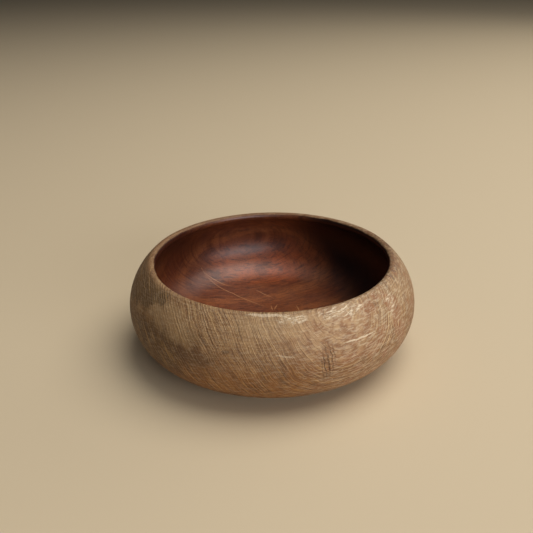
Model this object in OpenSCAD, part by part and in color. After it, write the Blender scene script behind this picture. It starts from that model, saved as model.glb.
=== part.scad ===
// Turned wooden bowl with an incurved rim.
// One solid piece of hardwood, hollowed on the lathe, so every surface is a surface of
// revolution about Z. The origin is the centre of the foot, on the table, and +Z is up.

/* [Body] */
// Largest outside diameter, at the belly
bowl_d = 190; // [176:1:210]
// Height from the table to the top of the rim
bowl_h = 64; // [60:0.5:72]
// Height of the belly above the table
belly_z = 33.5; // [33:0.5:36]
// Radius of the round that turns under from the belly
turn_under_r = 32; // [28:0.5:33]
// Thickness of the wall where the hollow is widest, measured from the belly
wall_t = 8.5; // [6:0.5:11]

/* [Rim] */
// Diameter of the mouth, between the innermost points of the lip
mouth_d = 153.5; // [146:0.5:158]
// Thickness of the lip, which is fully rounded
lip_t = 5.5; // [4:0.25:7]

/* [Hollow] */
// Height at which the hollow is widest
hollow_z = 42; // [40:0.5:45]
// Radius of the round between the hollow's wall and its floor
hollow_heel_r = 29; // [25:0.5:31]
// Thickness of wood from the table to the middle of the floor
floor_t = 8; // [6:0.5:10]

/* [Foot] */
// Diameter of the flat foot that the bowl stands on
foot_d = 120; // [110:1:124]
// Diameter of the shallow dish turned into the underside
dish_d = 92; // [60:1:100]
// Depth of that dish at the middle
dish_depth = 1.5; // [0.5:0.1:3]

/* [Hidden] */
$fn = 180;

belly_r = bowl_d / 2;
foot_r = foot_d / 2;
hollow_r = belly_r - wall_t;
lip_r = lip_t / 2;
lip_centre = [mouth_d / 2 + lip_r, bowl_h - lip_r];
// How far one round bites into the next, so that they meet in a single clean line
bite = 0.002;
heel_bite = 0.05;
// How far past their ends the cutting outlines run, clear of the wood
clear = 10;
// How far one outline laps over the next inside the wood or the hollow, in mm and in degrees
lap = 5;
lap_angle = 5;

// A point on a circle, at an angle from the r axis towards +Z
function on_circle(centre, r, angle) = centre + r * [cos(angle), sin(angle)];
// The angle at which one point sees another
function angle_to(from, to) = atan2(to[1] - from[1], to[0] - from[0]);

// Outside, from the belly down: the turn-under round, upright at the belly, then a flatter
// conical heel that runs straight to the edge of the foot.
turn_under_centre = [belly_r - turn_under_r, belly_z];
foot_edge = [foot_r, 0];
heel_angle = angle_to(turn_under_centre, foot_edge)
             + acos((turn_under_r - heel_bite) / norm(foot_edge - turn_under_centre));
heel_slope = 90 + heel_angle;

// Outside, from the belly up: one shoulder round, upright at the belly, that runs into the
// rounded lip.
shoulder_in = belly_r - bite - lip_centre[0];
shoulder_up = lip_centre[1] - belly_z;
tuck_r = lip_r - bite;
shoulder_r = (shoulder_in ^ 2 + shoulder_up ^ 2 - tuck_r ^ 2) / (2 * (shoulder_in - tuck_r));
shoulder_centre = [belly_r - bite - shoulder_r, belly_z];
shoulder_angle = angle_to(shoulder_centre, lip_centre);

// Inside, from where the hollow is widest up: the undercut round, which runs into the lip
undercut_in = hollow_r - lip_centre[0];
undercut_up = lip_centre[1] - hollow_z;
undercut_r = (undercut_in ^ 2 + undercut_up ^ 2 - tuck_r ^ 2) / (2 * (undercut_in + tuck_r));
undercut_centre = [hollow_r - undercut_r, hollow_z];
undercut_angle = angle_to(undercut_centre, lip_centre);

// Inside, from there down: the heel round, then a gently dished floor centred on the axis
hollow_heel_centre = [hollow_r - bite - hollow_heel_r, hollow_z];
hollow_drop = hollow_z - floor_t;
floor_edge_r = hollow_heel_r - bite;
floor_r = (hollow_heel_centre[0] ^ 2 + hollow_drop ^ 2 - floor_edge_r ^ 2)
          / (2 * (hollow_drop - floor_edge_r));
floor_centre = [0, floor_t + floor_r];
floor_angle = angle_to(floor_centre, hollow_heel_centre);

// Underside: a shallow dish, centred on the axis
dish_r = ((dish_d / 2) ^ 2 + dish_depth ^ 2) / (2 * dish_depth);

// A slice of a disc between two angles
module slice(centre, r, from, to) {
    reach = 2 * r;
    translate(centre) intersection() {
        circle(r = r);
        polygon([[0, 0], for (angle = [from, (from + to) / 2, to]) on_circle([0, 0], reach, angle)]);
    }
}

// Half of the body's outline as if it were solid, up to the middle of the lip. It runs on
// below the foot, to be trimmed.
module rough_outline() {
    polygon([
        [0, -clear],
        on_circle(turn_under_centre, turn_under_r + clear, heel_angle),
        on_circle(turn_under_centre, turn_under_r / 2, heel_angle),
        on_circle(turn_under_centre, turn_under_r / 2, heel_angle / 2),
        on_circle(shoulder_centre, shoulder_r / 2, shoulder_angle / 2),
        lip_centre,
        [0, lip_centre[1]],
    ]);
    slice(turn_under_centre, turn_under_r, heel_angle - lap_angle, lap_angle);
    slice(shoulder_centre, shoulder_r, 0, shoulder_angle);
}

// What is trimmed off below the foot and the heel
module foot_trim() {
    polygon([
        [0, 0],
        foot_edge,
        on_circle(foot_edge, belly_r, heel_slope),
        [2 * belly_r, -2 * clear],
        [0, -2 * clear],
    ]);
}

// Half of the hollow's outline, run on upwards through the mouth
module hollow_outline() {
    polygon([
        [0, hollow_z - lap],
        hollow_heel_centre - [0, lap],
        on_circle(undercut_centre, undercut_r / 2, 0),
        on_circle(undercut_centre, undercut_r / 2, undercut_angle),
        lip_centre,
        [lip_centre[0], bowl_h + clear],
        [0, bowl_h + clear],
    ]);
    slice(floor_centre, floor_r, -90, floor_angle);
    slice(hollow_heel_centre, hollow_heel_r, floor_angle - lap_angle, 0);
    slice(undercut_centre, undercut_r, -lap_angle, undercut_angle + lap_angle);
}

// Half of the shallow dish under the foot
module dish_outline() {
    translate([0, dish_depth - dish_r]) circle(r = dish_r);
}

// Half of the fully rounded lip
module lip_outline() {
    translate(lip_centre) circle(r = lip_r);
}

// The bowl, turned from one blank
module bowl() {
    color("peru") rotate_extrude() {
        difference() {
            rough_outline();
            foot_trim();
            hollow_outline();
            dish_outline();
        }
        lip_outline();
    }
}

bowl();
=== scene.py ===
import math

import bpy
from mathutils import Euler, Matrix, Vector


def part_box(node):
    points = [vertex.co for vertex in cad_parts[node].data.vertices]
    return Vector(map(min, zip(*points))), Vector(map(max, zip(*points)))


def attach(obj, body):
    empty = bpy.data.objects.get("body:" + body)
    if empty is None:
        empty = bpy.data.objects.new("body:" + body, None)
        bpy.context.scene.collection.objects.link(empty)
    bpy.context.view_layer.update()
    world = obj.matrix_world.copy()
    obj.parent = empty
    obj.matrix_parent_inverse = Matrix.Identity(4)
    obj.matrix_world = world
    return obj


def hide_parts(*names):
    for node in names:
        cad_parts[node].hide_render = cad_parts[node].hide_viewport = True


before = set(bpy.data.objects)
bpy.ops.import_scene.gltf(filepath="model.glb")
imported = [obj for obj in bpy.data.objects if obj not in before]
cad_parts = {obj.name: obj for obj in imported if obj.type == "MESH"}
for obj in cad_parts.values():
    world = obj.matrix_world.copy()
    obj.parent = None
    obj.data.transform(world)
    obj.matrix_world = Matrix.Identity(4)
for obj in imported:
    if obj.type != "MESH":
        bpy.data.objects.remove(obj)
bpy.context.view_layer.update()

# The view: someone seated at the table looks down at the front of the bowl, a little to the left
# of its middle. A normal lens, held almost level.
MM = 0.001
view_elevation = math.radians(25.02)
view_distance = 467.4 * MM
view_aim = Vector((-3.40, 0, 55.45)) * MM
view_tilt = math.radians(-0.81)

camera_data = bpy.data.cameras.new("camera")
camera_data.sensor_width = 36
camera_data.lens = 47.28
camera_data.clip_start = 10 * MM
camera = bpy.data.objects.new("camera", camera_data)
bpy.context.scene.collection.objects.link(camera)
towards_camera = Vector((0, -math.cos(view_elevation), math.sin(view_elevation)))
look = Euler((math.pi / 2 - view_elevation, 0, 0)).to_matrix() @ Matrix.Rotation(view_tilt, 3, "Z")
camera.matrix_world = Matrix.LocRotScale(view_aim + view_distance * towards_camera, look, None)
bpy.context.scene.camera = camera
bpy.context.scene.view_settings.view_transform = "Standard"


# The bowl: one block of reddish-brown hardwood, turned outside and hollowed through its mouth
# on a lathe. Its outline is a chain of rounds, and the whole form is that outline turned about
# the upright axis, with the slight unevenness that age and use have given it.
low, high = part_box("bowl")
belly_r = (high.x - low.x + high.y - low.y) / 4
rim_z = high.z
belly_z = 33.5 * MM
turn_under_r = 32 * MM
foot_r = 60 * MM
foot_round_r = 0.8 * MM
dish_r = 46 * MM
dish_depth = 1.5 * MM
mouth_r = 76.75 * MM
lip_r = 2.75 * MM
hollow_r = belly_r - 8.5 * MM
hollow_z = 42 * MM
hollow_heel_r = 29 * MM
floor_z = 8 * MM


def arc(centre, radius, start, end, step):
    """Points along a round; angles are in degrees, from the outward direction towards up."""
    count = max(2, round(abs(math.radians(end - start)) * radius / step))
    angles = [math.radians(start + (end - start) * i / count) for i in range(count + 1)]
    return [(centre[0] + radius * math.cos(a), centre[1] + radius * math.sin(a)) for a in angles]


def angle_to(start, end):
    """Direction in degrees from one point of the outline to another."""
    return math.degrees(math.atan2(end[1] - start[1], end[0] - start[0]))


lip_centre = (mouth_r + lip_r, rim_z - lip_r)

# Underside: a shallow dish, then the flat foot with a softened edge.
underside_r = (dish_r ** 2 + dish_depth ** 2) / (2 * dish_depth)
underside_centre = (0, dish_depth - underside_r)
underside = arc(underside_centre, underside_r, 90, angle_to(underside_centre, (dish_r, 0)), step=5 * MM)
foot = [(dish_r + 0.5 * MM, 0), (foot_r - 6 * MM, 0), (foot_r - 2.5 * MM, 0)]

# Outside: a flat heel that runs into the turn-under, the shoulder above the belly, the lip.
turn_under_centre = (belly_r - turn_under_r, belly_z)
heel_reach = math.hypot(foot_r - turn_under_centre[0], belly_z)
heel_angle = angle_to(turn_under_centre, (foot_r, 0)) + math.degrees(math.acos(turn_under_r / heel_reach))
heel_slope = math.radians(90 + heel_angle)
heel = [
    (foot_r - foot_round_r, 0.02 * MM),
    (foot_r + foot_round_r * math.cos(heel_slope), foot_round_r * math.sin(heel_slope)),
    (foot_r + 4 * MM * math.cos(heel_slope), 4 * MM * math.sin(heel_slope)),
]
turn_under = arc(turn_under_centre, turn_under_r, heel_angle, 0, step=1.35 * MM)
across = belly_r - lip_centre[0]
rise = lip_centre[1] - belly_z
shoulder_r = (across ** 2 + rise ** 2 - lip_r ** 2) / (2 * (across - lip_r))
shoulder_centre = (belly_r - shoulder_r, belly_z)
shoulder_angle = angle_to(shoulder_centre, lip_centre)
shoulder = arc(shoulder_centre, shoulder_r, 0, shoulder_angle, step=1.25 * MM)

# Inside: the undercut below the lip, the round down to the floor, and the gently dished floor.
across = hollow_r - lip_centre[0]
rise = lip_centre[1] - hollow_z
undercut_r = (across ** 2 + rise ** 2 - lip_r ** 2) / (2 * (across + lip_r))
undercut_centre = (hollow_r - undercut_r, hollow_z)
undercut_angle = angle_to(undercut_centre, lip_centre)
undercut = arc(undercut_centre, undercut_r, undercut_angle, 0, step=1.3 * MM)
lip_to_crest = arc(lip_centre, lip_r, shoulder_angle, 90, step=0.45 * MM)
lip_from_crest = arc(lip_centre, lip_r, 90, 180 + undercut_angle, step=0.45 * MM)
hollow_heel_centre = (hollow_r - hollow_heel_r, hollow_z)
drop = hollow_z - floor_z
floor_r = (hollow_heel_centre[0] ** 2 + drop ** 2 - hollow_heel_r ** 2) / (2 * (drop - hollow_heel_r))
floor_centre = (0, floor_z + floor_r)
floor_angle = angle_to(floor_centre, hollow_heel_centre)
hollow_heel = arc(hollow_heel_centre, hollow_heel_r, 0, floor_angle, step=1.6 * MM)
bowl_floor = arc(floor_centre, floor_r, floor_angle, -90, step=2.2 * MM)

# Each round starts where the one before it ends, so that point is left out.
outline = underside + foot + heel + turn_under + shoulder[1:] + lip_to_crest[1:]
crest_at = sum(math.dist(a, b) for a, b in zip(outline, outline[1:]))
outline += lip_from_crest[1:] + undercut[1:] + hollow_heel[1:] + bowl_floor[1:]

outline_curve = bpy.data.curves.new("bowl_outline", "CURVE")
outline_curve.dimensions = "3D"
spline = outline_curve.splines.new("POLY")
spline.points.add(len(outline) - 1)
for point, (r, z) in zip(spline.points, outline):
    point.co = (r, 0, z, 1)
blank = bpy.data.objects.new("bowl_blank", outline_curve)
bpy.context.scene.collection.objects.link(blank)


def connect(tree, socket, source):
    """Feeds an input with another node's output, or sets it to a plain value."""
    if isinstance(source, bpy.types.NodeSocket):
        tree.links.new(source, socket)
    else:
        socket.default_value = source


def put(tree, kind, *sources, named=None, **settings):
    """Adds a node, sets its options, and feeds its inputs in order, or by name."""
    node = tree.nodes.new(kind)
    for option, value in settings.items():
        setattr(node, option, value)
    for socket, source in zip(node.inputs, sources):
        if source is not None:
            connect(tree, socket, source)
    for name, source in (named or {}).items():
        connect(tree, node.inputs[name], source)
    return node


def sums(tree, operation, *sources):
    """One Math node; gives its result."""
    return put(tree, "ShaderNodeMath", *sources, operation=operation).outputs[0]


def vectors(tree, operation, *sources):
    """One Vector Math node; gives its result, a number for DOT_PRODUCT and LENGTH."""
    node = put(tree, "ShaderNodeVectorMath", *sources, operation=operation)
    return node.outputs["Value" if operation in ("DOT_PRODUCT", "LENGTH") else "Vector"]


def ramp(tree, value, from_low, from_high, to_low=0.0, to_high=1.0):
    """Takes a number smoothly from one range to another."""
    node = put(tree, "ShaderNodeMapRange", interpolation_type="SMOOTHSTEP")
    for name, source in zip(("Value", "From Min", "From Max", "To Min", "To Max"),
                            (value, from_low, from_high, to_low, to_high)):
        connect(tree, node.inputs[name], source)
    return node.outputs["Result"]


def new_tree(kind, name, inputs, outputs):
    """A node group with named inputs {name: (socket type, default)} and outputs {name: socket type}."""
    tree = bpy.data.node_groups.new(name, kind)
    for socket_name, (socket_type, default) in inputs.items():
        socket = tree.interface.new_socket(socket_name, in_out="INPUT", socket_type=socket_type)
        if default is not None:
            socket.default_value = default
    for socket_name, socket_type in outputs.items():
        tree.interface.new_socket(socket_name, in_out="OUTPUT", socket_type=socket_type)
    return tree, tree.nodes.new("NodeGroupInput").outputs, tree.nodes.new("NodeGroupOutput").inputs


turning, given, result = new_tree("GeometryNodeTree", "turned_on_the_lathe", {
    "Geometry": ("NodeSocketGeometry", None),
    "Segments": ("NodeSocketInt", 480),
    "Crest At": ("NodeSocketFloat", 150 * MM),
    "Oval": ("NodeSocketFloat", 0.2 * MM),
    "Unevenness": ("NodeSocketFloat", 0.3 * MM),
    "Unevenness Size": ("NodeSocketFloat", 40 * MM),
    "Tool Ripple": ("NodeSocketFloat", 0.03 * MM),
    "Ripple Pitch": ("NodeSocketFloat", 4 * MM),
    "Dents Per Area": ("NodeSocketFloat", 2500.0),
    "Dent Radius": ("NodeSocketFloat", 3 * MM),
    "Dent Depth": ("NodeSocketFloat", 0.2 * MM),
    "Seed": ("NodeSocketInt", 7),
    "Material": ("NodeSocketMaterial", None),
}, {"Geometry": "NodeSocketGeometry"})

# One column of the outline for each step round the axis, starting at the back.
counted = put(turning, "GeometryNodeAttributeDomainSize", given["Geometry"], component="CURVE")
rows = counted.outputs["Point Count"]
grid = put(turning, "GeometryNodeMeshGrid", 1.0, 1.0, sums(turning, "ADD", given["Segments"], 1.0), rows)
mapped = put(turning, "GeometryNodeStoreNamedAttribute", grid.outputs["Mesh"],
             data_type="FLOAT2", domain="CORNER", named={"Name": "UVMap", "Value": grid.outputs["UV Map"]})
flat_place = put(turning, "ShaderNodeSeparateXYZ", put(turning, "GeometryNodeInputPosition").outputs[0])
turns = sums(turning, "ADD", flat_place.outputs["X"], 0.5)
turn = sums(turning, "MULTIPLY_ADD", turns, math.tau, math.pi / 2)
row = sums(turning, "ROUND", sums(turning, "MULTIPLY", sums(turning, "ADD", flat_place.outputs["Y"], 0.5),
                                  sums(turning, "SUBTRACT", rows, 1.0)))
outline_place = put(turning, "GeometryNodeInputPosition").outputs[0]
outline_point = put(turning, "GeometryNodeSampleIndex", given["Geometry"], data_type="FLOAT_VECTOR",
                    domain="POINT", named={"Value": outline_place, "Index": row})
outline_length = put(turning, "GeometryNodeSplineParameter").outputs["Length"]
outline_along = put(turning, "GeometryNodeSampleIndex", given["Geometry"], data_type="FLOAT",
                    domain="POINT", named={"Value": outline_length, "Index": row})
reach = put(turning, "ShaderNodeSeparateXYZ", outline_point.outputs[0])
across_turn = sums(turning, "MULTIPLY", reach.outputs["X"], sums(turning, "COSINE", turn))
along_turn = sums(turning, "MULTIPLY", reach.outputs["X"], sums(turning, "SINE", turn))
past_lip = sums(turning, "SUBTRACT", given["Crest At"], outline_along.outputs[0])
marked = put(turning, "GeometryNodeStoreNamedAttribute", mapped.outputs[0], data_type="FLOAT",
             domain="POINT", named={"Name": "from_lip", "Value": past_lip})
round_axis = put(turning, "ShaderNodeCombineXYZ", across_turn, along_turn, reach.outputs["Z"]).outputs[0]
turned = put(turning, "GeometryNodeSetPosition", marked.outputs[0], named={"Position": round_axis})
closed = put(turning, "GeometryNodeMergeByDistance", turned.outputs[0], named={"Distance": 0.001 * MM})

# Unevenness: wood that has moved into a slight oval, a gentle wander, and the tool's ripple. It
# fades out at the foot, which stays flat.
place = put(turning, "GeometryNodeInputPosition").outputs[0]
place_parts = put(turning, "ShaderNodeSeparateXYZ", place)
off_foot = ramp(turning, place_parts.outputs["Z"], 0.5 * MM, 7 * MM)
around = sums(turning, "ARCTAN2", place_parts.outputs["Y"], place_parts.outputs["X"])
oval = sums(turning, "COSINE", sums(turning, "MULTIPLY", around, 2.0))
oval = sums(turning, "MULTIPLY", oval, given["Oval"])
wander_scale = sums(turning, "DIVIDE", 1.0, given["Unevenness Size"])
wander = put(turning, "ShaderNodeTexNoise", noise_dimensions="3D",
             named={"Vector": place, "Scale": wander_scale, "Detail": 1.0}).outputs[0]
wander = sums(turning, "MULTIPLY", sums(turning, "SUBTRACT", wander, 0.5), given["Unevenness"])
from_lip = put(turning, "GeometryNodeInputNamedAttribute", "from_lip", data_type="FLOAT").outputs[0]
ripple = put(turning, "ShaderNodeTexNoise", noise_dimensions="1D", named={
    "W": sums(turning, "DIVIDE", from_lip, given["Ripple Pitch"]), "Scale": 1.0, "Detail": 1.0}).outputs[0]
ripple = sums(turning, "MULTIPLY", sums(turning, "SUBTRACT", ripple, 0.5), given["Tool Ripple"])

# Dents: small knocks scattered over the outside, each with its own depth.
outside = sums(turning, "GREATER_THAN", from_lip, 1 * MM)
knocks = put(turning, "GeometryNodeDistributePointsOnFaces", closed.outputs[0], distribute_method="RANDOM",
             named={"Selection": outside, "Density": given["Dents Per Area"], "Seed": given["Seed"]})
nearest = put(turning, "GeometryNodeProximity", knocks.outputs["Points"], target_element="POINTS",
              named={"Source Position": place})
hardness = put(turning, "FunctionNodeRandomValue", data_type="FLOAT", named={"Seed": given["Seed"]})
struck = put(turning, "GeometryNodeSampleNearest", knocks.outputs["Points"], domain="POINT",
             named={"Sample Position": place})
hardness_here = put(turning, "GeometryNodeSampleIndex", knocks.outputs["Points"], data_type="FLOAT",
                    domain="POINT", named={"Value": hardness.outputs[1], "Index": struck.outputs[0]})
hardness_here = hardness_here.outputs[0]
dent_radius = sums(turning, "MULTIPLY", given["Dent Radius"],
                   sums(turning, "MULTIPLY_ADD", hardness_here, 0.6, 0.5))
dent = ramp(turning, nearest.outputs["Distance"], 0.0, dent_radius, 1.0, 0.0)
dent = sums(turning, "MULTIPLY", dent, sums(turning, "MULTIPLY", hardness_here, given["Dent Depth"]))
raised = sums(turning, "SUBTRACT", sums(turning, "ADD", sums(turning, "ADD", oval, wander), ripple), dent)
raised = sums(turning, "MULTIPLY", raised, off_foot)
normal = put(turning, "GeometryNodeInputNormal").outputs[0]
worn = put(turning, "GeometryNodeSetPosition", closed.outputs[0],
           named={"Offset": put(turning, "ShaderNodeVectorMath", normal, operation="SCALE",
                                named={"Scale": raised}).outputs[0]})
smooth = put(turning, "GeometryNodeSetShadeSmooth", worn.outputs[0])
realized = put(turning, "GeometryNodeRealizeInstances", smooth.outputs[0])
coated = put(turning, "GeometryNodeSetMaterial", realized.outputs[0], named={"Material": given["Material"]})
connect(turning, result["Geometry"], coated.outputs[0])


# The wood's finish: bare, faded and scuffed outside from years of handling; oiled, dark and
# glossy inside. Places are in millimetres. The outside is charted by the distance round from the
# front and the distance down from the lip, the inside by its plan.
def srgb(red, green, blue):
    """A colour given as display values from 0 to 255."""
    def linear(value):
        value /= 255
        return value / 12.92 if value <= 0.04045 else ((value + 0.055) / 1.055) ** 2.4
    return (linear(red), linear(green), linear(blue), 1)


# Growth layers: how deep a place lies in the tree, counted in layers out from the pith, with the
# broad tone of each band, a fine line where one layer meets the next, and the fibres.
layers, given, result = new_tree("ShaderNodeTree", "growth_layers", {
    "Place": ("NodeSocketVector", None),
    "Pith": ("NodeSocketVector", (0.0, 0.0, 0.0)),
    "Grain": ("NodeSocketVector", (1.0, 0.0, 0.0)),
    "Layer": ("NodeSocketFloat", 2.0),
    "Wander": ("NodeSocketFloat", 6.0),
    "Wander Size": ("NodeSocketFloat", 50.0),
    "Shake": ("NodeSocketFloat", 1.5),
    "Shake Size": ("NodeSocketFloat", 7.0),
}, {"Tone": "NodeSocketFloat", "Streak": "NodeSocketFloat", "Line": "NodeSocketFloat"})
drifted = given["Place"]
for far, size in (("Wander", "Wander Size"), ("Shake", "Shake Size")):
    drift_scale = sums(layers, "DIVIDE", 1.0, given[size])
    drift = put(layers, "ShaderNodeTexNoise", noise_dimensions="3D",
                named={"Vector": given["Place"], "Scale": drift_scale, "Detail": 1.0}).outputs[1]
    drift = vectors(layers, "SUBTRACT", drift, (0.5, 0.5, 0.5))
    drift = put(layers, "ShaderNodeVectorMath", drift, operation="SCALE", named={"Scale": given[far]})
    drifted = vectors(layers, "ADD", drifted, drift.outputs[0])
from_pith = vectors(layers, "SUBTRACT", drifted, given["Pith"])
along_grain = vectors(layers, "DOT_PRODUCT", from_pith, given["Grain"])
lengthwise = put(layers, "ShaderNodeVectorMath", given["Grain"], operation="SCALE",
                 named={"Scale": along_grain}).outputs[0]
outward = vectors(layers, "SUBTRACT", from_pith, lengthwise)
depth = sums(layers, "DIVIDE", vectors(layers, "LENGTH", outward), given["Layer"])
tone = put(layers, "ShaderNodeTexNoise", noise_dimensions="1D",
           named={"W": depth, "Scale": 0.16, "Detail": 3.0, "Roughness": 0.6}).outputs[0]
beat = put(layers, "ShaderNodeTexNoise", noise_dimensions="1D",
           named={"W": depth, "Scale": 0.9, "Detail": 0.0}).outputs[0]
meeting = sums(layers, "PINGPONG", sums(layers, "ADD", depth, beat), 1.0)
line = ramp(layers, meeting, 0.0, 0.45, 1.0, 0.0)
long_parts = put(layers, "ShaderNodeSeparateXYZ", given["Place"])
streak_place = put(layers, "ShaderNodeCombineXYZ", depth,
                   sums(layers, "MULTIPLY", long_parts.outputs["X"], 0.05),
                   sums(layers, "MULTIPLY", long_parts.outputs["Z"], 0.05)).outputs[0]
streak = put(layers, "ShaderNodeTexNoise", noise_dimensions="3D",
             named={"Vector": streak_place, "Scale": 1.4, "Detail": 3.0, "Roughness": 0.7}).outputs[0]
connect(layers, result["Streak"], streak)
connect(layers, result["Tone"], tone)
connect(layers, result["Line"], line)

# Worn patch: a ragged oval, scratch or check at a chosen place on a chart.
patching, given, result = new_tree("ShaderNodeTree", "worn_patch", {
    "Chart": ("NodeSocketVector", None),
    "Centre": ("NodeSocketVector", (0.0, 0.0, 0.0)),
    "Half Size": ("NodeSocketVector", (10.0, 5.0, 1.0)),
    "Turn": ("NodeSocketFloat", 0.0),
    "Ragged": ("NodeSocketFloat", 0.4),
    "Ragged Size": ("NodeSocketFloat", 4.0),
    "Soft": ("NodeSocketFloat", 0.3),
    "Bend": ("NodeSocketFloat", 0.0),
}, {"Mask": "NodeSocketFloat"})
local = vectors(patching, "SUBTRACT", given["Chart"], given["Centre"])
local = put(patching, "ShaderNodeVectorRotate", rotation_type="Z_AXIS",
            named={"Vector": local, "Angle": sums(patching, "RADIANS", given["Turn"])}).outputs[0]
local_parts = put(patching, "ShaderNodeSeparateXYZ", local)
sway = put(patching, "ShaderNodeTexNoise", noise_dimensions="3D", named={
    "Vector": put(patching, "ShaderNodeCombineXYZ", local_parts.outputs["X"],
                  vectors(patching, "LENGTH", given["Centre"]), 0.0).outputs[0],
    "Scale": 0.16, "Detail": 1.0}).outputs[0]
sway = sums(patching, "MULTIPLY", sums(patching, "SUBTRACT", sway, 0.5), given["Bend"])
local = put(patching, "ShaderNodeCombineXYZ", local_parts.outputs["X"],
            sums(patching, "ADD", local_parts.outputs["Y"], sway), 0.0).outputs[0]
away = vectors(patching, "LENGTH", vectors(patching, "DIVIDE", local, given["Half Size"]))
rag = put(patching, "ShaderNodeTexNoise", noise_dimensions="3D", named={
    "Vector": given["Chart"], "Scale": sums(patching, "DIVIDE", 1.0, given["Ragged Size"]),
    "Detail": 3.0, "Roughness": 0.6}).outputs[0]
rag = sums(patching, "MULTIPLY", sums(patching, "SUBTRACT", rag, 0.5), given["Ragged"])
connect(patching, result["Mask"], ramp(patching, sums(patching, "ADD", away, rag),
                                       sums(patching, "SUBTRACT", 1.0, given["Soft"]),
                                       sums(patching, "ADD", 1.0, given["Soft"]), 1.0, 0.0))

wood = bpy.data.materials.new("worn_hardwood")
wood.use_nodes = True
tree = wood.node_tree
tree.nodes.clear()


def noise(vector, size, detail=2.0, roughness=0.5, distortion=0.0):
    """Noise whose features are about size millimetres across."""
    return put(tree, "ShaderNodeTexNoise", noise_dimensions="3D", named={
        "Scale": 1 / size, "Detail": detail, "Roughness": roughness, "Distortion": distortion,
        "Vector": vector}).outputs[0]


def blend(amount, under, over, mode="MIX"):
    """Lays one colour over another by an amount from 0 to 1."""
    node = put(tree, "ShaderNodeMix", data_type="RGBA", blend_type=mode, clamp_factor=True)
    connect(tree, node.inputs["Factor"], amount)
    connect(tree, node.inputs[6], under)
    connect(tree, node.inputs[7], over)
    return node.outputs[2]


def times(first, second):
    """The product of two numbers."""
    return sums(tree, "MULTIPLY", first, second)


def plus(first, second):
    """The sum of two numbers."""
    return sums(tree, "ADD", first, second)


def most(first, second):
    """The larger of two numbers, which joins two masks."""
    return sums(tree, "MAXIMUM", first, second)


def spread(value, factor, offset):
    """A number stretched by a factor and moved by an offset."""
    return sums(tree, "MULTIPLY_ADD", value, factor, offset)


def use(group, **inputs):
    """Places a node group in the wood's material with its own values; underscores stand for spaces."""
    node = tree.nodes.new("ShaderNodeGroup")
    node.node_tree = group
    for name, source in inputs.items():
        connect(tree, node.inputs[name.replace("_", " ")], source)
    return node


def mark(chart, across, along, half_length, half_width, turn, ragged=0.5, ragged_size=4.0, soft=0.3,
         bend=0.0):
    """The mask of one worn patch, scratch or check on a chart."""
    return use(patching, Chart=chart, Centre=(across, along, 0), Half_Size=(half_length, half_width, 1),
               Turn=turn, Ragged=ragged, Ragged_Size=ragged_size, Soft=soft, Bend=bend).outputs["Mask"]


def outside_mark(degrees, down, half_length, half_width, turn=0.0, **wear):
    """A mark outside, so many degrees to the right of the front and millimetres down from the lip."""
    return mark(outside_chart, degrees * degree_across, down, half_length, half_width, turn, **wear)


chart_radius = 90.0
degree_across = math.radians(1) * chart_radius
object_place = put(tree, "ShaderNodeTexCoord").outputs["Object"]
place = put(tree, "ShaderNodeVectorMath", object_place, operation="SCALE",
            named={"Scale": 1 / MM}).outputs[0]
parts = put(tree, "ShaderNodeSeparateXYZ", place)
lip_distance = put(tree, "ShaderNodeAttribute", attribute_name="from_lip").outputs["Fac"]
down = times(lip_distance, 1 / MM)
round_front = sums(tree, "ARCTAN2", parts.outputs["X"], times(parts.outputs["Y"], -1.0))
across_front = times(round_front, chart_radius)
outside_chart = put(tree, "ShaderNodeCombineXYZ", across_front, down, 0.0).outputs[0]
inside_chart = put(tree, "ShaderNodeCombineXYZ", parts.outputs["X"], parts.outputs["Y"], 0.0).outputs[0]

# The block: outside, the layers show as fine lines leaning to the right on the left of the front
# and as wide rings round its right; inside, as long ovals at the back left of the hollow.
broad = noise(place, 34.0, 3.0)
cloud = noise(place, 11.0, 4.0, 0.6)
fine = noise(place, 1.2, 3.0, 0.7)
layer_out = use(layers, Place=place, Pith=(45.0, -88.0, 83.0), Grain=(0.32, -0.70, -0.64), Layer=0.9,
                Wander=6.0, Wander_Size=26.0, Shake=1.3, Shake_Size=4.0)
layer_in = use(layers, Place=place, Pith=(-77.0, 122.0, -105.5), Grain=(0.78, 0.55, 0.30), Layer=3.4,
               Wander=14.0, Wander_Size=36.0, Shake=1.5, Shake_Size=8.0)
streak_out = layer_out.outputs["Streak"]
streak_in = layer_in.outputs["Streak"]

# Outside: faded tan wood, its layers drawn by dark and pale lines, crossed by fine turning lines.
tan = blend(ramp(tree, broad, 0.35, 0.65), srgb(184, 150, 114), srgb(162, 126, 90))
tan = blend(ramp(tree, cloud, 0.42, 0.72, 0.0, 0.45), tan, srgb(146, 106, 72))
tan = blend(ramp(tree, layer_out.outputs["Tone"], 0.4, 0.6, 0.0, 0.18), tan, srgb(138, 98, 66))
tan = blend(ramp(tree, streak_out, 0.52, 0.34, 0.0, 0.8), tan, srgb(108, 70, 43))
tan = blend(ramp(tree, streak_out, 0.5, 0.66, 0.0, 0.6), tan, srgb(214, 184, 146))
turning_place = put(tree, "ShaderNodeCombineXYZ", times(parts.outputs["X"], 0.03),
                    times(parts.outputs["Y"], 0.03), down).outputs[0]
turning_lines = noise(turning_place, 0.9, 3.0, 0.7)
tan = blend(ramp(tree, turning_lines, 0.5, 0.7, 0.0, 0.35), tan, srgb(204, 176, 142))
tan = blend(ramp(tree, turning_lines, 0.5, 0.34, 0.0, 0.35), tan, srgb(118, 82, 52))
tan = blend(ramp(tree, fine, 0.55, 0.3, 0.0, 0.5), tan, srgb(112, 76, 48))
tan = blend(ramp(tree, fine, 0.55, 0.8, 0.0, 0.5), tan, srgb(214, 188, 152))

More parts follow.
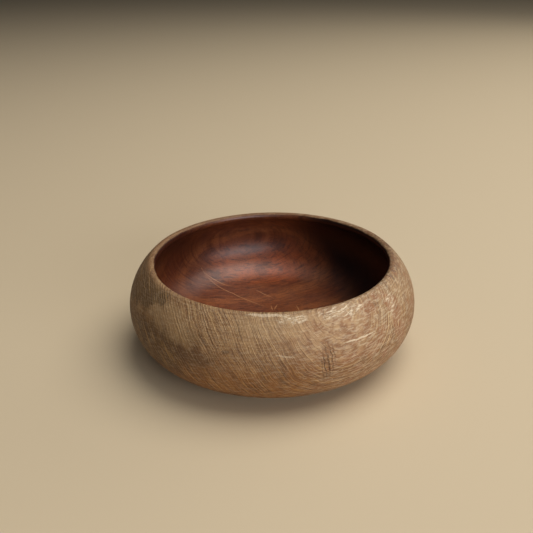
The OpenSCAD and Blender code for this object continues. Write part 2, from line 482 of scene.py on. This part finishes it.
# Golden below the belly, where hands and light have faded it less, and stained brown low on the left.
to_right = ramp(tree, parts.outputs["X"], 0.0, 60.0)
low_edge = spread(broad, 16.0, times(to_right, 11.0))
low_gold = ramp(tree, plus(down, low_edge), 28.0, 52.0, 0.0, 0.75)
tan = blend(low_gold, tan, srgb(200, 152, 84), "MULTIPLY")
tan = blend(times(low_gold, 0.7), tan, srgb(146, 94, 36))
stain = outside_mark(-56, 39.0, 42.0, 17.0, 10.0, ragged=0.8, ragged_size=12.0, soft=0.45)
tan = blend(times(stain, 0.85), tan, srgb(186, 150, 84), "MULTIPLY")
tan = blend(times(stain, 0.88), tan, srgb(86, 52, 8))

# A darker grey-olive area on the upper left shoulder with a ragged lower edge, a paler patch below it.
grey_patch = outside_mark(-43, 16.0, 22.0, 9.0, -16.0, ragged=0.9, ragged_size=9.0, soft=0.25)
tan = blend(times(grey_patch, 0.55), tan, srgb(184, 156, 122))
pale_top = outside_mark(4, 9.0, 26.0, 7.0, ragged=0.9, ragged_size=8.0, soft=0.6)
tan = blend(times(pale_top, 0.32), tan, srgb(222, 196, 162))
olive = outside_mark(-100, 2.0, 84.0, 24.0, 0.0, ragged=0.5, ragged_size=8.0, soft=0.05)
olive = times(olive, ramp(tree, down, 0.0, 5.0, 0.1, 0.7))
tan = blend(olive, tan, srgb(80, 58, 30))

# The layers show through the grey-olive, the stain and the gold as well.
olive_stain_gold = most(most(olive, stain), spread(low_gold, 0.6, 0.3))
patchy = ramp(tree, noise(place, 8.0, 3.0, 0.6), 0.5, 0.66, 0.0, 0.5)
tan = blend(times(olive_stain_gold, patchy), tan, srgb(92, 60, 32))
dark_layers = times(olive_stain_gold, ramp(tree, streak_out, 0.5, 0.34, 0.0, 0.8))
tan = blend(dark_layers, tan, srgb(78, 50, 22))
pale_layers = times(olive_stain_gold, ramp(tree, streak_out, 0.52, 0.66, 0.0, 0.6))
tan = blend(pale_layers, tan, srgb(208, 168, 106))

# Reddish places where the faded skin has been rubbed through, mostly at the right, and dark smudges.
rubbed = ramp(tree, noise(place, 10.0, 2.0), 0.5, 0.62)
rubbed = times(rubbed, times(to_right, 0.75))
for degrees, below, half_length, half_width in ((40, 8.5, 8, 4.5), (28, 32, 11, 3.5), (56, 34, 5, 7)):
    red_patch = outside_mark(degrees, below, half_length, half_width, ragged=1.6, ragged_size=5.0, soft=0.5)
    rubbed = most(rubbed, times(red_patch, 0.75))
tan = blend(rubbed, tan, srgb(150, 92, 54))
smudges = ramp(tree, noise(place, 7.0, 3.0, 0.6), 0.62, 0.74, 0.0, 0.6)
dark_corner = outside_mark(-30, 32.0, 12.0, 5.0, 8.0, ragged=1.8, ragged_size=6.0, soft=0.5)
smudges = most(smudges, times(dark_corner, 0.6))
tan = blend(smudges, tan, srgb(98, 66, 42))
knots = outside_mark(-17, 24.6, 2.2, 1.2, 6, ragged=2.6, ragged_size=1.6, soft=0.4)
tan = blend(times(knots, 0.6), tan, srgb(84, 54, 36))

# Pale wavy raised lines where the layers meet, towards the right of the front.
pale_line = times(layer_out.outputs["Line"], ramp(tree, cloud, 0.34, 0.56, 0.25, 1.0))
arcs = outside_mark(53, 20.0, 26.0, 8.0, 35.0, ragged=0.9, ragged_size=7.0, soft=0.4)
pale_line = times(pale_line, most(arcs, spread(to_right, 0.35, 0.15)))
tan = blend(pale_line, tan, srgb(236, 210, 174))

# Where the layers lie flat to the surface, right of the middle, they blur into a reddish mottle.
mottle = noise(place, 6.0, 4.0, 0.65)
mottled = blend(ramp(tree, mottle, 0.42, 0.6), srgb(204, 170, 134), srgb(154, 108, 74))
flat_sawn = outside_mark(24, 17.0, 28.0, 15.0, -6.0, ragged=1.0, ragged_size=9.0, soft=0.6)
tan = blend(times(flat_sawn, 0.6), tan, mottled)

# Scuffs: pale scrapes on the right shoulder, a pale wavy line below them, bare wood on the front of
# the lip. The scrapes are real wear, but their whitening, which grows towards the lit right, is partly
# painted highlight.
scrape_place = put(tree, "ShaderNodeMapping", outside_chart, vector_type="TEXTURE",
                   named={"Rotation": (0.0, 0.0, math.radians(-6)), "Scale": (4.5, 1.0, 1.0)}).outputs[0]
scrapes = ramp(tree, noise(scrape_place, 1.1, 4.0, 0.65, distortion=0.7), 0.48, 0.6)
scuffs_and_sheen = outside_mark(29, 5.4, 17.0, 4.4, -2.0, ragged=1.2, ragged_size=5.0, soft=0.5)
scuffs_and_sheen = most(scuffs_and_sheen, outside_mark(53, 13.0, 8.0, 4.0, 64.0, ragged=0.9, soft=0.5))
scuffs_and_sheen = most(scuffs_and_sheen, outside_mark(8, 5.0, 9.0, 2.6, ragged=1.4, soft=0.5))
# Painted sheen: the pale scrapes grow stronger towards the right, where the light falls.
scuffs_and_sheen = most(scuffs_and_sheen, spread(to_right, 0.3, 0.14))
scuffs_and_sheen = times(scuffs_and_sheen, spread(scrapes, 0.8, 0.2))
for degrees, below, half_length, half_width, turn, amount in (
        (32, 22.8, 10, 0.5, 0, 0.85), (4, 25.5, 5, 0.6, -10, 0.35), (-3, 2.0, 12, 1.0, 0, 0.55)):
    scuff = outside_mark(degrees, below, half_length, half_width, turn, ragged=1.8, ragged_size=1.1,
                         soft=0.2, bend=2.0)
    scuffs_and_sheen = most(scuffs_and_sheen, times(scuff, amount))
tan = blend(scuffs_and_sheen, tan, srgb(250, 238, 222))

# Checks: a cluster of dark wavy upright cracks right of the middle, and purplish spots by the rim
# at the right.
waver = noise(outside_chart, 5.0, 2.0)
check_across = plus(spread(down, -0.12, across_front), times(waver, 4.0))
checks = ramp(tree, sums(tree, "PINGPONG", check_across, 1.0), 0.1, 0.6, 1.0, 0.0)
checks = times(checks, ramp(tree, fine, 0.35, 0.6, 0.4, 1.0))
checks = times(checks, outside_mark(18.8, 32.0, 4.0, 9.5, -6.0, ragged=0.9, soft=0.5))
tan = blend(times(checks, 0.75), tan, srgb(66, 42, 28))
by_rim = ramp(tree, sums(tree, "ABSOLUTE", down), 3.0, 6.0, 1.0, 0.0)
spots = times(ramp(tree, parts.outputs["X"], 58.0, 76.0), by_rim)
spots = times(spots, ramp(tree, noise(place, 3.0, 2.0), 0.5, 0.6))
tan = blend(times(spots, 0.6), tan, srgb(98, 78, 74))

# Yellowed all over by age.
tan = blend(1.0, tan, (0.85, 0.77, 0.63, 1), "MULTIPLY")

# Browner towards the back on both sides; the lip is darker all round from handling.
to_back = ramp(tree, sums(tree, "ABSOLUTE", round_front), 0.9, 1.5, 0.0, 0.3)
tan = blend(to_back, tan, srgb(128, 88, 54))
from_crest = sums(tree, "ABSOLUTE", plus(down, times(fine, 1.5)))
on_lip = ramp(tree, from_crest, 2.0, 4.5, 0.55, 0.0)
on_lip = times(on_lip, ramp(tree, parts.outputs["Y"], -50.0, 75.0, 0.1, 1.0))
tan = blend(times(on_lip, sums(tree, "SUBTRACT", 1.0, scuffs_and_sheen)), tan, srgb(112, 76, 48))

# Darker at the very bottom, fading out about two millimetres above the table.
darker_at_foot = ramp(tree, parts.outputs["Z"], 0.2, 2.2, 0.5, 0.0)
tan = blend(darker_at_foot, tan, srgb(74, 54, 38))

# Inside: the same block, reddish brown under oil, its pores showing as dark flecks. A painted sheen makes
# it lighter and redder low down at the back; it is duller on the left; painted shade darkens it up the wall
# and most on the right.
red = blend(ramp(tree, layer_in.outputs["Tone"], 0.4, 0.6), srgb(154, 88, 50), srgb(122, 62, 34))
high_up = ramp(tree, down, -56.0, -16.0)
low_down = sums(tree, "SUBTRACT", 1.0, high_up)
# Painted sheen: a bright red patch low down at the back of the hollow, where the window light glances off
# the oil.
painted_sheen = mark(inside_chart, -8.0, 79.0, 46.0, 15.0, 0.0, ragged=0.6, ragged_size=14.0, soft=0.6)
painted_sheen = times(painted_sheen, times(low_down, 0.8))
red = blend(painted_sheen, red, srgb(214, 104, 48))
red = blend(ramp(tree, streak_in, 0.5, 0.34, 0.0, 0.5), red, srgb(72, 32, 20))
red = blend(times(layer_in.outputs["Line"], 0.3), red, srgb(66, 24, 20))
red = blend(ramp(tree, broad, 0.4, 0.7, 0.0, 0.4), red, srgb(148, 86, 44))
red = blend(ramp(tree, cloud, 0.45, 0.7, 0.0, 0.3), red, srgb(84, 40, 24))
pore_place = put(tree, "ShaderNodeMapping", inside_chart, vector_type="TEXTURE",
                 named={"Rotation": (0.0, 0.0, math.radians(12)), "Scale": (7.0, 1.0, 1.0)}).outputs[0]
pores = noise(pore_place, 1.3, 4.0, 0.7, distortion=0.6)
red = blend(ramp(tree, pores, 0.5, 0.36, 0.0, 0.6), red, srgb(62, 28, 18))
red = blend(ramp(tree, pores, 0.52, 0.68, 0.0, 0.4), red, srgb(176, 108, 62))
red = blend(ramp(tree, fine, 0.5, 0.3, 0.0, 0.5), red, srgb(70, 32, 18))
# Painted shade: darker up the wall, under the overhanging lip, most towards the sides.
to_side = ramp(tree, sums(tree, "ABSOLUTE", parts.outputs["X"]), 30.0, 75.0)
red = blend(times(high_up, spread(to_side, 0.5, 0.42)), red, srgb(46, 13, 3))
dull = times(ramp(tree, parts.outputs["X"], -70.0, -40.0, 0.5, 0.0), low_down)
red = blend(dull, red, srgb(84, 34, 8))
# Painted shade: the right side of the hollow, turned away from the light, is made nearly black, reaching
# further across high on the wall.
from_left = spread(high_up, 26.0, parts.outputs["X"])
painted_right_shade = ramp(tree, from_left, 31.0, 67.0)
red = blend(times(painted_right_shade, 0.94), red, srgb(30, 10, 5))

# Long light scratches across the floor of the hollow, and short ones near its front.
scratch_half_width = 0.28
floor_scratches = 0.0
for across, along, half_length, turn in (
        (-41, 58, 9, 16), (-28, 45, 26, 34), (-6, 47, 7, 38),
        (0, 28, 3, 80), (3, 29, 3, 110), (19, 26, 3.5, 75)):
    scratch = mark(inside_chart, across, along, half_length, scratch_half_width, turn,
                   ragged=0.9, ragged_size=3.0, soft=0.5, bend=1.2)
    floor_scratches = most(floor_scratches, scratch)
is_floor = sums(tree, "LESS_THAN", down, -30.0)
floor_scratches = times(floor_scratches, is_floor)
red = blend(times(floor_scratches, 0.7), red, srgb(206, 146, 96))

# The two finishes meet just inside the crest of the lip. Scuffed wood is a little shinier.
edge_wander = times(sums(tree, "SUBTRACT", cloud, 0.5), 3.0)
inside = ramp(tree, plus(down, edge_wander), -2.9, -1.9, 1.0, 0.0)
colour = blend(inside, tan, red)
roughness_out = ramp(tree, cloud, 0.3, 0.7, 0.5, 0.68)
roughness_out = spread(scuffs_and_sheen, -0.14, roughness_out)
roughness_in = ramp(tree, cloud, 0.3, 0.7, 0.32, 0.46)
roughness = put(tree, "ShaderNodeMix", inside, None, roughness_out, roughness_in, data_type="FLOAT")

# Relief: raised layer lines, scuffs and open checks outside; almost none under the oil.
height = spread(layer_out.outputs["Line"], 0.7, times(fine, 0.5))
height = plus(height, times(streak_out, 0.8))
height = plus(height, times(turning_lines, 0.4))
height = plus(height, times(scuffs_and_sheen, 0.5))
height = sums(tree, "SUBTRACT", height, checks)
height = times(height, spread(inside, -0.9, 1.0))
relief = put(tree, "ShaderNodeBump", named={"Strength": 0.8, "Distance": 0.3 * MM, "Height": height})

# The oil is worn thin on the left of the hollow and has sunk in on the right, over the painted shade.
oil = times(inside, ramp(tree, parts.outputs["X"], -62.0, -25.0, 0.25, 0.75))
oil = times(oil, spread(painted_right_shade, -0.6, 1.0))
surface = put(tree, "ShaderNodeBsdfPrincipled", named={
    "Base Color": colour, "Roughness": roughness.outputs[0], "Normal": relief.outputs[0],
    "Coat Weight": oil, "Coat Roughness": 0.36, "IOR": 1.4})
put(tree, "ShaderNodeOutputMaterial", surface.outputs[0])

# The turned form takes its sizes, is made a plain mesh, and stands for the plain solid.
lathe = blank.modifiers.new("turned_on_the_lathe", "NODES")
lathe.node_group = turning
for name, value in {"Segments": 500, "Crest At": crest_at, "Material": wood}.items():
    lathe[turning.interface.items_tree[name].identifier] = value
bpy.context.view_layer.update()
evaluated = blank.evaluated_get(bpy.context.evaluated_depsgraph_get())
bowl = bpy.data.objects.new("turned_bowl", bpy.data.meshes.new_from_object(evaluated))
bpy.context.scene.collection.objects.link(bowl)
bpy.data.objects.remove(blank)
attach(bowl, "root")
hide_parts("bowl")


# The floor: a plain, pale, slightly warm surface that runs well past the view.
floor_mesh = bpy.data.meshes.new("floor")
floor_half = 6.0
floor_corners = [(x * floor_half, y * floor_half, 0) for x, y in ((-1, -1), (1, -1), (1, 1), (-1, 1))]
floor_mesh.from_pydata(floor_corners, [], [(0, 1, 2, 3)])
floor = bpy.data.objects.new("floor", floor_mesh)
bpy.context.scene.collection.objects.link(floor)
floor_finish = bpy.data.materials.new("pale_floor")
floor_finish.use_nodes = True
floor_shader = floor_finish.node_tree.nodes["Principled BSDF"]
floor_shader.inputs["Base Color"].default_value = srgb(217, 198, 166)
floor_shader.inputs["Roughness"].default_value = 0.75
floor_mesh.materials.append(floor_finish)


# The light: daylight from the right, most of it from high up, some of it low and from the front,
# as soft panels about the bowl, in a dim, even room.
light_distance = 2.0


def soft_light(name, turn, rise, width, height, power, tint):
    """A soft oval panel that faces the bowl; turn is from the right towards the back."""
    data = bpy.data.lights.new(name, "AREA")
    data.shape = "ELLIPSE"
    data.size = width
    data.size_y = height
    data.energy = power
    data.color = tint
    light = bpy.data.objects.new(name, data)
    bpy.context.scene.collection.objects.link(light)
    turn = math.radians(turn)
    rise = math.radians(rise)
    facing = Vector((math.cos(rise) * math.cos(turn), math.cos(rise) * math.sin(turn), math.sin(rise)))
    light.matrix_world = Matrix.LocRotScale(light_distance * facing, facing.to_track_quat("Z", "Y"), None)


soft_light("high_window", 8, 68, 2.0, 2.0, 29.0, (1.0, 0.97, 0.92))
soft_light("low_window", -58, 17, 2.0, 0.9, 19.0, (0.93, 0.95, 1.0))
soft_light("side_window", 44, 28, 1.6, 1.2, 4.0, (1.0, 0.95, 0.86))
soft_light("ceiling", -70, 76, 2.0, 2.0, 5.5, (1.0, 0.96, 0.9))
room = bpy.data.worlds.new("room")
bpy.context.scene.world = room
room.use_nodes = True
room.node_tree.nodes["Background"].inputs["Color"].default_value = (0.95, 0.97, 1.0, 1)
room.node_tree.nodes["Background"].inputs["Strength"].default_value = 0.03
